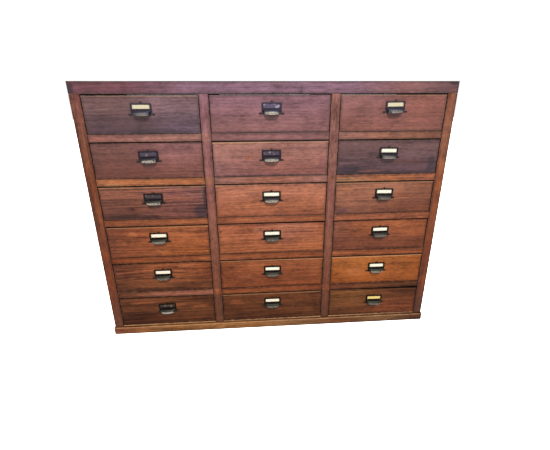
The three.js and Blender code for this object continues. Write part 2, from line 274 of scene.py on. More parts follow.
# Pulls whose frame is empty, the tone of the cards in the others, how strong the painted highlight
# on each hood's lip is, and how far each pull was turned when it was screwed on, in degrees.
EMPTY_FRAMES = {"1_centre", "2_left", "2_centre", "3_left", "6_left"}
CARD_TONES = {"1_left": "cream", "1_right": "cream", "6_right": "straw", "4_left": "buff",
              "5_left": "buff", "6_centre": "buff"}
LIP_HIGHLIGHTS = {"1_centre": 0.8, "2_left": 0.9, "2_centre": 0.9, "3_left": 0.8, "3_centre": 0.8,
               "6_left": 0.8, "1_left": 0.35, "1_right": 0.45, "2_right": 0.5, "4_left": 0.5,
               "5_right": 0.5}
TURNED = {"1_right": -0.8, "2_left": -0.6, "2_right": 0.9, "3_right": 0.5, "4_right": -0.5,
          "5_centre": 0.6, "6_left": -0.9, "6_right": 0.8, "1_centre": 0.4}
CARD_COLOURS = {"cream": (0.190, 0.172, 0.118), "straw": (0.205, 0.160, 0.050),
                "buff": (0.250, 0.226, 0.182), "ivory": (0.245, 0.243, 0.200)}


# ---- Sizes and finishes that a user may change ----


def length(name, description, millimetres, **limits):
    """A length property, given in millimetres."""
    return FloatProperty(name=name, description=description, default=millimetres * MM,
                         unit="LENGTH", precision=4, **limits)


class CabinetSizes(bpy.types.PropertyGroup):
    """Sizes of the boards of a drawer and of the parts of a pull."""

    arris: length("Arris", "Radius of a worn edge", 1.2, min=0.2 * MM, max=4 * MM)
    hollow: length("Hollow", "How far a plane has dipped into a board", 0.2, min=0, max=1 * MM)
    front_thickness: length("Front", "Thickness of a drawer front", 20)
    side_thickness: length("Side", "Thickness of a drawer side", 9)
    side_height: length("Side height", "Height of a drawer side", 100)
    back_height: length("Back height", "Height of a drawer back", 85)
    bottom_thickness: length("Bottom", "Thickness of a drawer bottom", 6)
    dust_thickness: length("Dust board", "Thickness of a dust board", 10)
    rail_depth: length("Rail depth", "How far a rail reaches back", 40)
    sheet: length("Sheet", "Thickness of a hood's metal", 1.4)
    back_boards: IntProperty(name="Back boards", description="Number of boards in the back",
                             default=9, min=1, max=20)


class CabinetFinish(bpy.types.PropertyGroup):
    """Tones and gloss of the wood and metal."""

    stain_strength: FloatProperty(name="Stain strength", description="Brightness of all the stains",
                                  default=0.235, min=0.05, max=2)
    gloss: FloatProperty(name="Gloss", description="How much varnish is left on the wood",
                         default=0.08, min=0, max=1)
    dullness: FloatProperty(name="Dullness", description="Roughness of the polished wood",
                            default=0.42, min=0.05, max=1)
    patina: FloatVectorProperty(name="Patina", description="Blackened metal of the lower pulls",
                                default=(0.0035, 0.0026, 0.0020), subtype="COLOR", min=0, max=1)
    # The upper pulls' colour carries a painted reflection: the bluish sheen of the light on them.
    blue_sheen_metal: FloatVectorProperty(name="Blued", description="Blackened metal of the upper pulls",
                               default=(0.0190, 0.0155, 0.0230), subtype="COLOR", min=0, max=1)
    # Painted highlight on the hoods' lips, painted in this colour as rubbed bare metal.
    highlight_metal: FloatVectorProperty(name="Bare metal", description="Metal where fingers have rubbed it",
                                    default=(0.16, 0.145, 0.120), subtype="COLOR", min=0, max=1)
    floor: FloatVectorProperty(name="Floor", description="Floor and backdrop",
                               default=(0.97, 0.97, 0.97), subtype="COLOR", min=0, max=1)


# ---- Shader expressions ----


class Wire:
    """The output of a shader node. Arithmetic on it adds Math nodes to its material."""

    def __init__(self, paint, socket):
        self.paint, self.socket = paint, socket

    def maths(self, operation, *terms):
        return self.paint.node("ShaderNodeMath", {"operation": operation}, dict(enumerate(terms)))

    def __add__(self, other):
        return self.maths("ADD", self, other)

    def __sub__(self, other):
        return self.maths("SUBTRACT", self, other)

    def __rsub__(self, other):
        return self.maths("SUBTRACT", other, self)

    def __mul__(self, other):
        return self.maths("MULTIPLY", self, other)

    def __truediv__(self, other):
        return self.maths("DIVIDE", self, other)

    def __pow__(self, other):
        return self.maths("POWER", self, other)

    def __abs__(self):
        return self.maths("ABSOLUTE", self)

    def least(self, other):
        return self.maths("MINIMUM", self, other)

    def most(self, other):
        return self.maths("MAXIMUM", self, other)

    __radd__, __rmul__ = __add__, __mul__


class Paint:
    """One material and the nodes that make its colour, gloss and relief."""

    def __init__(self, name):
        self.material = bpy.data.materials.new(name)
        self.material.use_nodes = True
        self.tree = self.material.node_tree
        self.tree.nodes.clear()
        self.place = self.node("ShaderNodeTexCoord", output="Object")

    def node(self, kind, settings=None, values=None, output=0):
        """Adds a node: its settings first, then a value or a link for each socket."""
        node = self.tree.nodes.new(kind)
        for name, setting in (settings or {}).items():
            if name == "stops":
                self.fill_ramp(node.color_ramp, setting)
            else:
                setattr(node, name, setting)
        for socket, value in (values or {}).items():
            if isinstance(value, Wire):
                self.tree.links.new(value.socket, node.inputs[socket])
            else:
                node.inputs[socket].default_value = value
        return Wire(self, node.outputs[output]) if node.outputs else node

    @staticmethod
    def fill_ramp(ramp, stops):
        while len(ramp.elements) < len(stops):
            ramp.elements.new(1.0)
        for element, (position, colour) in zip(ramp.elements, stops):
            element.position, element.color = position, colour

    def axes(self, vector=None):
        """The three parts of a vector, of the place itself if none is given."""
        vector = vector or self.place
        return [self.node("ShaderNodeSeparateXYZ", None, {0: vector}, i) for i in range(3)]

    def vector(self, *parts):
        return self.node("ShaderNodeCombineXYZ", None, dict(enumerate(parts)))

    def noise(self, vector, scale=1.0, detail=2.0, roughness=0.5, distortion=0.0):
        return self.node("ShaderNodeTexNoise", None, {
            "Vector": vector, "Scale": scale, "Detail": detail, "Roughness": roughness,
            "Distortion": distortion})

    def line_noise(self, value, detail=2.0):
        """Noise along a line, for rings that repeat unevenly."""
        return self.node("ShaderNodeTexNoise", {"noise_dimensions": "1D"}, {
            "W": value, "Scale": 1.0, "Detail": detail})

    def attribute(self, name, output="Fac"):
        return self.node("ShaderNodeAttribute", {"attribute_name": name}, output=output)

    def mix(self, factor, first, second, blend="MIX"):
        return self.node("ShaderNodeMix", {"data_type": "RGBA", "blend_type": blend,
                         "clamp_factor": True}, {0: factor, 6: first, 7: second}, 2)

    def ramp(self, value, stops):
        return self.node("ShaderNodeValToRGB", {"stops": stops}, {0: value})

    def run(self, value, colours):
        """A run of colours, evenly spaced as the value goes from 0 to 1."""
        last = max(len(colours) - 1, 1)
        return self.ramp(value, [(i / last, colour) for i, colour in enumerate(colours)])

    def rise(self, value, low, high):
        """0 below low and 1 above high, or the other way round, eased between them."""
        if low > high:
            return 1 - self.rise(value, high, low)
        return self.node("ShaderNodeMapRange", {"interpolation_type": "SMOOTHSTEP"}, {
            0: value, 1: low, 2: high, 3: 0.0, 4: 1.0})

    def surface(self, colour, roughness, relief=None, depth=0.0, **fixed):
        """Ends the material. relief is a height from 0 to 1, and depth is how much it is in metres."""
        values = {"Base Color": colour, "Roughness": roughness}
        if relief is not None:
            values["Normal"] = self.node("ShaderNodeBump", None, {
                "Strength": 0.6, "Distance": depth, "Height": relief}, "Normal")
        values.update({name.replace("_", " "): value for name, value in fixed.items()})
        shader = self.node("ShaderNodeBsdfPrincipled", None, values)
        self.node("ShaderNodeOutputMaterial", None, {"Surface": shader})
        return self.material


# ---- Materials ----


def grain(paint, along, centre, seed, width=1.0):
    """The figure of a board: streaks, growth rings, fibres and pores, each from 0 to 1.

    Rings are noise of the distance from a pith line that runs along the board, beneath its face, and
    wanders a little; so they are long lines on the face and arcs on the end grain.
    """
    parts = paint.axes()
    u, (v, w) = parts[along], [parts[i] for i in range(3) if i != along]
    middle = [centre[i] for i in range(3) if i != along]
    stretched = lambda lengthwise, crosswise: paint.vector(
        u * lengthwise + seed * 1.7, v * crosswise + seed * 3.1, w * crosswise + seed * 0.9)
    wander = paint.noise(paint.vector(u * 3.0 + seed, v * 5.0, w * 5.0), 1.0, 1.0) - 0.5
    across = v - (middle[0] + 0.02 * math.sin(seed * 7)) + wander * 0.035
    below = w - (middle[1] + 0.06 + 0.02 * math.cos(seed * 5)) + wander * 0.03
    rings = paint.line_noise((across * across + below * below) ** 0.5 * (190.0 * width) + seed * 11, 3.0)
    streaks = paint.noise(stretched(2.2, 42.0 * width), 1.0, 4.0, 0.6)
    lines = paint.noise(stretched(5.5, 150.0 * width), 1.0, 2.0)
    fibres = paint.noise(stretched(26.0, 820.0), 1.0, 2.0)
    pores = paint.rise(paint.noise(stretched(85.0, 1500.0), 1.0, 1.0), 0.60, 0.72)
    return streaks, lines, rings, fibres, pores


def arris_distance(paint, low, high):
    """How far a point of a board's surface is from the nearest arris: the middle one of its three
    distances from the board's faces."""
    gaps = [(part - low[i]).least(high[i] - part) for i, part in enumerate(paint.axes())]
    return gaps[0] + gaps[1] + gaps[2] - gaps[0].least(gaps[1]).least(gaps[2]) \
        - gaps[0].most(gaps[1]).most(gaps[2])


def blend_marks(paint, colour, look, strength, haze, ripple, facing):
    """Stains and knots: inside |((x - a) / r, (z - b) / s)| < 1, with a ragged edge, or inside a
    rectangle for the square ones."""
    x, _, z = paint.axes()
    for group, square in ((look.marks, False), (look.square, True)):
        for name, across, up, half_width, half_height, amount in group:
            dx, dz = (x - across * MM) / (half_width * MM), (z - up * MM) / (half_height * MM)
            if square:
                inside = paint.rise(abs(dx).most(abs(dz)), 1.02, 0.96)
            else:
                inside = paint.rise((dx * dx + dz * dz) ** 0.5 + (ripple - 0.5) * 1.6, 1.25, 0.45)
            colour = paint.mix(inside * facing * amount, colour, stain(name, strength, haze))
    return colour


def polished_wood(name, low, high, along, look, finish, seed, boards=0.0, raw=None):
    """Old polished hardwood. The stains run along the board, streaks and rings darken and lighten
    them, the wood is darker towards the arrises and the arrises themselves are worn pale. Painted shade
    darkens a thin line along the front's edges and the faces inside the gaps, and a painted highlight
    lightens a band under the upper arris. Behind raw, a distance from the front, the wood was never
    stained. boards is the width of the boards that are glued up."""
    paint = Paint(name)
    x, y, z = paint.axes()
    length = (x, y, z)[along]
    centre = [(a + b) / 2 for a, b in zip(low, high)]
    streaks, lines, rings, fibres, pores = grain(paint, along, centre, seed)
    share = (length - low[along]) / (high[along] - low[along])
    height = min(max((low[Z] + high[Z]) / 2 / TALL, 0.0), 1.0)
    strength = finish.stain_strength * (1 - 0.09 * height**2)
    specular = 0.03 + 0.14 * height**2
    haze = 0.006 + 0.11 * specular
    body = paint.run(share, [stain(s, strength, haze) for s in look.top])
    if look.foot != look.top:
        lower = paint.run(share, [stain(s, strength, haze) for s in look.foot])
        body = paint.mix(paint.rise(z, low[Z], high[Z]), lower, body)
    facing = paint.rise(y, FRONT + 3.0 * MM, FRONT + 2.2 * MM)
    ragged = paint.noise(paint.vector(x + seed, y, z), 55.0, 3.0, 0.6, 0.3)
    body = blend_marks(paint, body, look, strength, haze, streaks * 0.5 + ragged * 0.5, facing)
    cloud = paint.noise(paint.vector(x + seed, y, z * 1.6), 13.0, 3.0, 0.6)
    fleck = paint.noise(paint.vector(x * 0.4 + seed, y, z * 1.2) if along != Z else
                        paint.vector(x * 1.2 + seed, y, z * 0.4), 150.0, 3.0, 0.65)
    tone = 0.5 + (streaks - 0.5) * (1.9 * look.streaks) + (lines - 0.5) * (1.3 * look.streaks) \
        + (rings - 0.5) * (1.5 * look.figure) + (fibres - 0.5) * 0.8 + (cloud - 0.5) * 0.95 \
        + (fleck - 0.5) * 1.05
    if boards:
        index = paint.node("ShaderNodeMath", {"operation": "FLOOR"}, {0: (y - low[Y]) / boards})
        shade = paint.node("ShaderNodeTexWhiteNoise", {"noise_dimensions": "1D"}, {"W": index + seed})
        tone = tone + (shade - 0.5) * 0.35
    dark = paint.mix(1.0, body, (0.36, 0.31, 0.31, 1), "MULTIPLY")
    light = paint.mix(1.0, body, (1.72, 1.76, 1.74, 1), "MULTIPLY")
    colour = paint.mix(tone, dark, light)
    colour = paint.mix(pores * 0.5, colour, dark)
    scratch = paint.noise(paint.vector(x * 9 + seed * 2, y * 9, z * 520), 1.0, 1.0)
    scratch = paint.rise(scratch, 0.66, 0.72)
    colour = paint.mix(scratch * 0.3, colour, light)
    edge = arris_distance(paint, low, high)
    # The wood is painted darker within about 10 mm of each arris.
    near_arris_dark = paint.rise(edge + (ragged - 0.5) * (12 * MM), 10 * MM, 0.5 * MM)
    colour = paint.mix(near_arris_dark * 0.58, colour, dark)
    rubbed = paint.rise(edge + (streaks - 0.5) * (5 * MM), 2.6 * MM, 0.6 * MM) \
        * paint.rise(ragged, 0.44, 0.60)
    pale = paint.mix(0.5, light, stain("sand", strength))
    colour = paint.mix(rubbed * (0.8 * look.worn), colour, pale)
    # Painted shade: a thin dark line along the front's edges, as the shadow of the gaps beside them.
    seam = paint.rise(edge + (ragged - 0.5) * (0.8 * MM), 2.0 * MM, 0.8 * MM) * facing
    colour = paint.mix(seam * look.seam, colour, stain("shade_black", strength))
    # Painted highlight: a pale band just under the upper arris of the front, where light from above
    # falls.
    top_edge_highlight = paint.rise(z + (ragged - 0.5) * (2 * MM), high[Z] - 5.2 * MM, high[Z] - 3.6 * MM) \
        * paint.rise(z, high[Z] - 1.4 * MM, high[Z] - 2.2 * MM) * facing
    highlight_pale = paint.mix(0.75, light, stain("sand", 1.35 * strength))
    colour = paint.mix(top_edge_highlight * paint.rise(streaks, 0.34, 0.50) * (0.85 * look.lit), colour, highlight_pale)
    # Painted shade: faces set back from the front inside the gaps are painted nearly black, except the
    # back, the outer sides and the top.
    gap_shade = paint.rise(y, FRONT + 1.7 * MM, FRONT + 3.0 * MM) \
        * paint.rise(y, BACK - 0.5 * MM, BACK - 1.5 * MM) \
        * paint.rise(abs(x), WIDE - 0.5 * MM, WIDE - 1.5 * MM) \
        * paint.rise(z, TALL - 0.5 * MM, TALL - 1.5 * MM)
    colour = paint.mix(gap_shade * 0.97, colour, stain("shade_black", strength))
    if raw:
        bare = paint.mix(streaks, stain("aged_pine", 0.28), stain("pine", 0.36))
        unstained = paint.rise(y + (ragged - 0.5) * (3 * MM), FRONT + raw, FRONT + raw + 2 * MM)
        colour = paint.mix(unstained, colour, bare)
    roughness = finish.dullness + (cloud - 0.5) * 0.28 + rubbed * 0.2 + pores * 0.15 \
        - (rings - 0.5) * 0.1
    relief = fibres * 0.35 + rings * 0.3 + (1 - pores) * 0.5 + cloud * 0.6
    return paint.surface(colour, roughness, relief, 0.35 * MM, Coat_Weight=finish.gloss * height**2,
                         Coat_Roughness=0.22, Specular_IOR_Level=specular)


def raw_wood(name, along, light_stain, dark_stain, seed, relief_depth=0.0):
    """Unpolished softwood, brown with age: fine lines, growth rings and pores, and dust in patches."""
    paint = Paint(name)
    streaks, _, rings, fibres, pores = grain(paint, along, (0, 0, 0.4), seed, 0.6)
    x, y, z = paint.axes()
    cloud = paint.noise(paint.vector(x, y, z), 7.0, 4.0, 0.6)
    tone = 0.5 + (streaks - 0.5) * 0.9 + (rings - 0.5) * 1.2 + (fibres - 0.5) * 0.4 + (cloud - 0.5) * 0.9
    colour = paint.mix(tone, stain(dark_stain, 0.3), stain(light_stain, 0.42))
    colour = paint.mix(pores * 0.3, colour, stain("umber", 0.3))
    dusty = paint.rise(cloud, 0.52, 0.72)
    colour = paint.mix(dusty * 0.22, colour, stain("dust", 0.4))
    roughness = 0.72 + (cloud - 0.5) * 0.2
    relief = fibres * 0.5 + rings * 0.4 + cloud * 0.3 if relief_depth else None
    return paint.surface(colour, roughness, relief, relief_depth, Specular_IOR_Level=0.25)


def blackened_metal(finish):
    """The pulls' metal: nearly black on the frame, rubbed grey on the hood, with a painted highlight on
    its lip, and a painted bluish reflection that grows towards the top of the cabinet. Reads how each
    point lies on its own pull, how strong that pull's lip highlight is, and how high its row is."""
    paint = Paint("blackened_metal")
    own = paint.attribute("own_place", "Vector")
    highlight_level = paint.attribute("lip_polish")
    height = paint.attribute("row_height")
    x, y, z = paint.axes(own)
    cloud = paint.noise(paint.place, 240.0, 3.0, 0.6)
    fine = paint.noise(paint.place, 1500.0, 2.0)
    # blue weighs a painted reflection: the frame, hood and back plate colours are painted bluer, as the
    # sheen of bluish light, the higher the row.
    blue = height**3
    colour = paint.mix(blue, (*finish.patina, 1), (*finish.blue_sheen_metal, 1))
    hood_grey = paint.mix(blue, (0.0115, 0.0108, 0.0082, 1), (0.0115, 0.0120, 0.0190, 1))
    on_hood = paint.rise(y, -3.4 * MM, -5.0 * MM) * paint.rise(z, -10.8 * MM, -12.5 * MM)
    # Painted shade: the outermost side edges of the hood are left near black, as its sides in shade.
    sideways = paint.rise(abs(x) + (cloud - 0.5) * (3 * MM), 31.5 * MM, 28.5 * MM)
    colour = paint.mix(on_hood * sideways * paint.rise(cloud, 0.22, 0.58), colour, hood_grey)
    # Painted highlight on the hood's lip, in patches, painted as rubbed bare metal; its strength is set
    # per pull.
    lip = paint.rise(z + (cloud - 0.5) * (4 * MM), -17.0 * MM, -19.5 * MM) * paint.rise(
        abs(x) + (cloud - 0.5) * (7 * MM), 25 * MM, 21 * MM) * on_hood
    lip = lip * paint.rise(cloud, 0.36, 0.50) * highlight_level
    colour = paint.mix(lip, colour, (*finish.highlight_metal, 1))
    pocket = paint.rise(y, -1.6 * MM, -1.3 * MM) * paint.rise(abs(x), 26.2 * MM, 25.6 * MM) \
        * paint.rise(abs(z), 6.4 * MM, 5.9 * MM)
    # The back plate shows inside an empty frame; its bright patches are painted reflections.
    back_plate_dim = paint.mix(blue, (0.022, 0.015, 0.012, 1), (0.040, 0.034, 0.056, 1))
    back_plate_glint = paint.mix(blue, (0.07, 0.055, 0.04, 1), (0.13, 0.11, 0.14, 1))
    glint_patch = paint.rise(paint.noise(paint.place, 95.0, 2.0), 0.54, 0.66)
    colour = paint.mix(pocket, colour, paint.mix(glint_patch, back_plate_dim, back_plate_glint))
    on_ear = paint.rise(abs(x), 32.0 * MM, 33.5 * MM).most(paint.rise(z, 11.0 * MM, 12.5 * MM))
    colour = paint.mix(on_ear * 0.8, colour, stain("umber", 0.2))
    rust = paint.rise(cloud, 0.60, 0.72) * (1 - lip)
    colour = paint.mix(rust * 0.35, colour, stain("umber", 0.4))
    metallic = 0.8 - rust * 0.5
    roughness = 0.56 + (cloud - 0.5) * 0.3 - lip * 0.14 + rust * 0.15
    relief = fine * 0.4 + cloud * 0.6
    return paint.surface(colour, roughness, relief, 0.12 * MM, Metallic=metallic,
                         Specular_IOR_Level=0.08)


def screw_metal():
    """Steel screws, brown with age and brighter where the driver has scraped them."""
    paint = Paint("screw_steel")
    cloud = paint.noise(paint.place, 700.0, 3.0, 0.6)
    brown, scraped = (0.005, 0.004, 0.0035, 1), (0.022, 0.017, 0.014, 1)
    colour = paint.mix(paint.rise(cloud, 0.42, 0.62), brown, scraped)
    return paint.surface(colour, 0.36 + cloud * 0.25, cloud, 0.08 * MM, Metallic=0.8)


def card_paper(tone, seed):
    """Old card: warm at the edges, faintly mottled, with soft fibres."""
    paint = Paint(f"card_{tone}")
    own = paint.attribute("own_place", "Vector")
    x, _, z = paint.axes(own)
    red, green, blue = CARD_COLOURS[tone]
    cloud = paint.noise(paint.place, 90.0 + seed, 4.0, 0.6)
    fibre = paint.noise(paint.place, 1400.0, 2.0)
    rim = paint.rise((abs(x) / (25.5 * MM)).most(abs(z) / (6.0 * MM)) + (cloud - 0.5) * 0.25, 0.82, 1.02)
    aged = (red * 0.72, green * 0.60, blue * 0.42, 1)
    colour = paint.mix(paint.rise(cloud, 0.48, 0.75) * 0.35, (red, green, blue, 1), aged)
    colour = paint.mix(rim * 0.6, colour, aged)
    colour = paint.mix(fibre * 0.12, colour, (red * 0.8, green * 0.8, blue * 0.8, 1))
    return paint.surface(colour, 0.78 + (cloud - 0.5) * 0.1, fibre, 0.05 * MM, Specular_IOR_Level=0.2)


# ---- Shapes ----


def stations(low, high, radius, spacing, extra=()):
    """Places along one edge of a board: two steps round each arris, one just past it to keep the face
    flat, even steps between, and any extra ones."""
    arris = radius * (1 - np.tan(np.radians([45.0, 22.5, 0.0])))
    near = np.append(arris, 1.7 * radius)
    count = max(2, int(math.ceil((high - low) / spacing)))
    middle = np.linspace(low + near[-1], high - near[-1], count + 1)
    return np.unique(np.round(np.concatenate([low + near, middle, extra, high - near]), 7))


def rounded_board(low, high, radius, spacing=0.06, extra=((), (), ())):
    """Points and faces of a board with every arris rounded. Each side is a grid of two parameters, and
    a point q of the plain box goes to c + r (q - c) / |q - c|, where c is q held inside the box shrunk
    by the radius r. Returns the outward directions too."""
    low, high = np.array(low, float), np.array(high, float)
    radius = min(radius, 0.3 * (high - low).min())
    lines = [stations(low[i], high[i], radius, spacing, extra[i]) for i in range(3)]
    shape = [len(line) for line in lines]
    lattice = np.stack(np.meshgrid(*lines, indexing="ij"), axis=-1)
    inside = np.zeros(shape, bool)
    inside[1:-1, 1:-1, 1:-1] = True
    number = np.full(shape, -1)
    number[~inside] = np.arange((~inside).sum())
    boxed = lattice[~inside]
    core = np.clip(boxed, low + radius, high - radius)
    outward = boxed - core
    outward /= np.linalg.norm(outward, axis=1, keepdims=True)
    faces = []
    for axis in range(3):
        for end, side in ((0, False), (-1, True)):
            sheet = np.take(number, end, axis=axis)
            forward = side != (axis == 1)
            faces.append(quads(sheet if forward else sheet.T))
    return core + radius * outward, np.concatenate(faces), outward


def quads(sheet):
    """The four-sided faces of a grid of point numbers."""
    corners = sheet[:-1, :-1], sheet[1:, :-1], sheet[1:, 1:], sheet[:-1, 1:]
    return np.stack(corners, axis=-1).reshape(-1, 4)


def hollowed(points, outward, depth, seed):
    """A hand plane's marks: each point sinks by depth (1 + sin a sin b) / 2, with slow waves a and b."""
    wave = np.sin(points[:, X] * 21 + seed) * np.sin(points[:, Z] * 27 + points[:, Y] * 19 + seed * 2)
    return points - outward * (depth * (1 + wave) / 2)[:, None]


def new_mesh(name, points, faces):
    mesh = bpy.data.meshes.new(name)
    mesh.from_pydata(np.asarray(points).tolist(), [], [list(map(int, face)) for face in faces])
    mesh.update()
    return mesh


def new_piece(name, points, faces, material, body, nodes=(), smooth_angle=50):
    """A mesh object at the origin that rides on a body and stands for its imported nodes."""
    mesh = new_mesh(name, points, faces)
    return finished_piece(name, mesh, material, body, nodes, smooth_angle)


def finished_piece(name, mesh, material, body, nodes=(), smooth_angle=50):
    """Gives a mesh its object, its material, its body and the nodes that it stands for."""
    mesh.polygons.foreach_set("use_smooth", [True] * len(mesh.polygons))
    mesh.set_sharp_from_angle(angle=math.radians(smooth_angle))
    mesh.materials.append(material)
    piece = bpy.data.objects.new(name, mesh)
    bpy.context.scene.collection.objects.link(piece)
    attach(piece, body)
    if nodes:
        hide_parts(*nodes)
    return piece


def add_board(name, low, high, material, body, slot, nodes=(), seed=0.0, radius=None, reshape=None,
              extra=((), (), ())):
    """A board between two corners, with its arrises rounded and its faces a little hollowed. reshape
    then moves the points, for a rebate, a groove or a slope."""
    sizes = bpy.context.scene.cabinet_sizes
    points, faces, outward = rounded_board(low, high, radius or sizes.arris, extra=extra)
    points = hollowed(points, outward, sizes.hollow, seed)
    if reshape:
        points = reshape(points)
    return new_piece(name, points, faces, material, body, nodes)


def add_carcass_board(name, seed, along=X, slot="carcass_wood", boards=0.0, raw=None, **shape):
    """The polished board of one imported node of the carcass."""
    low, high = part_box(name)
    wood = polished_wood(f"{name}_wood", low, high, along, CARCASS_LOOKS[name],
                         bpy.context.scene.cabinet_finish, seed, boards, raw)
    return add_board(name, low, high, wood, "carcass", slot, [name], seed, **shape)


def grooved(points, places, depth, half_width):
    """Cuts a V groove up both faces at each place p across the board, depth (1 - |x - p| / w)."""
    away = np.abs(points[:, X, None] - places).min(axis=1)
    middle = (points[:, Y].min() + points[:, Y].max()) / 2
    points = points.copy()
    points[:, Y] -= np.sign(points[:, Y] - middle) * depth * np.clip(1 - away / half_width, 0, 1)
    return points


def ring(half_width, half_height, radius, depth, steps=5):
    """One rounded rectangle of an inlaid frame: four corner arcs about (+-(w - r), +-(h - r))."""
    angle = np.linspace(0, np.pi / 2, steps)
    turns = [angle + quarter * np.pi / 2 for quarter in range(4)]
    signs = [(1, 1), (-1, 1), (-1, -1), (1, -1)]
    x = [sx * (half_width - radius) + radius * np.cos(t) for t, (sx, _) in zip(turns, signs)]
    z = [sz * (half_height - radius) + radius * np.sin(t) for t, (_, sz) in zip(turns, signs)]
    x, z = np.concatenate(x), np.concatenate(z)
    return np.stack([x, np.full_like(x, -depth), z], axis=1)


def stacked(rings):
    """A closed solid from a stack of rings, each joined to the next, with the first and last filled."""
    count = len(rings[0])
    number = np.arange(len(rings) * count).reshape(len(rings), count)
    wrapped = np.concatenate([number, number[:, :1]], axis=1)
    faces = quads(wrapped).tolist() + [number[0].tolist(), number[-1][::-1].tolist()]
    return np.concatenate(rings), [face[::-1] for face in faces]


def card_frame_rings():
    """The card frame from its back, over two beads, down into the window that the card lies in."""
    wide, high, corner = 31.5 * MM, 10.5 * MM, 3 * MM
    window = 26 * MM, 6.25 * MM
    steps = [(0, 0.0, 3.0), (0, 2.3, 3.0), (0.25, 2.95, 3.0), (0.8, 3.2, 2.6), (1.6, 3.2, 2.2),
             (2.1, 2.65, 1.9)]
    outer = [ring(wide - inset * MM, high - inset * MM, radius * MM, depth * MM)
             for inset, depth, radius in steps]
    inward = [(1.9, 2.65, 1.6), (1.4, 3.2, 1.3), (0.6, 3.2, 0.9), (0.15, 3.0, 0.6), (0, 2.7, 0.5),
              (0, 1.0, 0.5)]
    inner = [ring(window[0] + inset * MM, window[1] + inset * MM, radius * MM, depth * MM)
             for inset, depth, radius in inward]
    return outer + inner


def between(front, back):
    """The closed solid between two grids of points of the same shape: both sheets, and a wall round
    their rims. The rows of the front, then its columns, turn anticlockwise as seen from outside."""
    rows, cols = front.shape[:2]
    number = np.arange(rows * cols).reshape(rows, cols)
    edge = np.concatenate([number[:-1, 0], number[-1, :-1], number[:0:-1, -1], number[0, :0:-1]])
    after = np.roll(edge, -1)
    wall = np.stack([after, edge, edge + rows * cols, after + rows * cols], axis=-1)
    faces = np.concatenate([quads(number), quads(number.T + rows * cols), wall])
    return np.concatenate([front.reshape(-1, 3), back.reshape(-1, 3)]), faces


def hood_grid(inset):
    """One side of the finger hood: x = a(v) c(u), y = -R(v) s(u), z = Z(v). c and s are the cosine and
    sine of u, each to the power 2/2.8 with its sign, R and Z follow a quarter ellipse and then drop to
    a rolled lip, and a narrows towards the lip. The inset makes a, R and Z smaller for the inside."""
    top, lip, reach, power = -9.5 * MM - inset, -25.4 * MM, 15.3 * MM - inset, 2 / 2.8
    shoulder = lip + 4.2 * MM
    angle = np.linspace(np.pi / 2, 0, 17)
    drop = np.linspace(0, 1, 6)[1:]
    height = np.concatenate([shoulder + (top - shoulder) * np.sin(angle),
                             shoulder + (lip - shoulder) * drop])
    out = np.concatenate([reach * np.cos(angle), reach + 0.55 * MM * drop**3])
    ease = np.clip((-12 * MM - height) / (13.4 * MM), 0, 1)
    half = 30 * MM - inset - 6 * MM * ease * ease * (3 - 2 * ease)
    u = np.linspace(np.pi, 0, 53)
    cosine = np.sign(np.cos(u)) * np.abs(np.cos(u)) ** power
    sine = np.abs(np.sin(u)) ** power
    return np.stack([half[:, None] * cosine, -out[:, None] * sine - 0.03 * MM,
                     np.repeat(height[:, None], len(u), axis=1)], axis=-1)


def sheet_rings(outline, thick):
    """A flat plate of an outline (x, z), with its front edge eased: the outline shrinks towards its
    own middle by up to 0.4 mm."""
    middle = (outline.min(axis=0) + outline.max(axis=0)) / 2
    span = (outline.max(axis=0) - outline.min(axis=0)) / 2
    rings = []
    for inset, depth in ((0, 0.0), (0, thick - 0.4 * MM), (0.12 * MM, thick - 0.12 * MM),
                         (0.4 * MM, thick)):
        x, z = (middle + (outline - middle) * (1 - inset / span)).T
        rings.append(np.stack([x, np.full_like(x, -depth), z], axis=1))
    return rings


def wing_outline(side):
    """The sheet beside the hood, running down from the card frame and out into a round ear."""
    angle = np.linspace(-np.pi / 2, np.pi / 2, 15)
    ear = np.stack([EAR_ACROSS + EAR_RADIUS * np.cos(angle), EAR_UP + EAR_RADIUS * np.sin(angle)],
                   axis=1) / MM
    fillet = np.linspace(-np.pi / 2, -np.pi, 6)
    inside = np.stack([33.5 + 2 * np.cos(fillet), -17.9 + 2 * np.sin(fillet)], axis=1)
    rest = np.array([(31.5, -12), (31.5, -7.5), (20, -7.5), (20, -25), (31, -25)])
    outline = np.concatenate([ear, inside, rest]) * MM
    return outline if side > 0 else (outline * (-1, 1))[::-1]


def tab_outline():
    """The half-round tab above the card frame."""
    angle = np.linspace(0, np.pi, 15)
    arc = np.stack([3.9 * np.cos(angle), 11.5 + 3.9 * np.sin(angle)], axis=1)
    return np.concatenate([arc, [(-3.9, 9.6), (3.9, 9.6)]]) * MM


def bare_object(name, points, faces):
    """A mesh object that joins no body yet."""
    made = bpy.data.objects.new(name, new_mesh(name, points, faces))
    bpy.context.scene.collection.objects.link(made)
    return made


def pull_mesh(sizes):
    """The pull: card frame, hood and two ears joined into one closed metal body, in its own frame."""
    body = bare_object("pull_blank", *stacked(card_frame_rings()))
    hood = bare_object("hood_blank", *between(hood_grid(0.0), hood_grid(sizes.sheet)))
    outlines = wing_outline(1), wing_outline(-1), tab_outline()
    sheets = [sheet_rings(outline, 1.4 * MM) for outline in outlines]
    others = [hood] + [bare_object("sheet_blank", *stacked(rings)) for rings in sheets]
    for other in others:
        union = body.modifiers.new("join", "BOOLEAN")
        union.operation, union.solver, union.object = "UNION", "EXACT", other
    bpy.context.view_layer.update()
    graph = bpy.context.evaluated_depsgraph_get()
    joined = bpy.data.meshes.new_from_object(body.evaluated_get(graph), depsgraph=graph)
    for blank in [body, *others]:
        bpy.data.objects.remove(blank)
    return joined


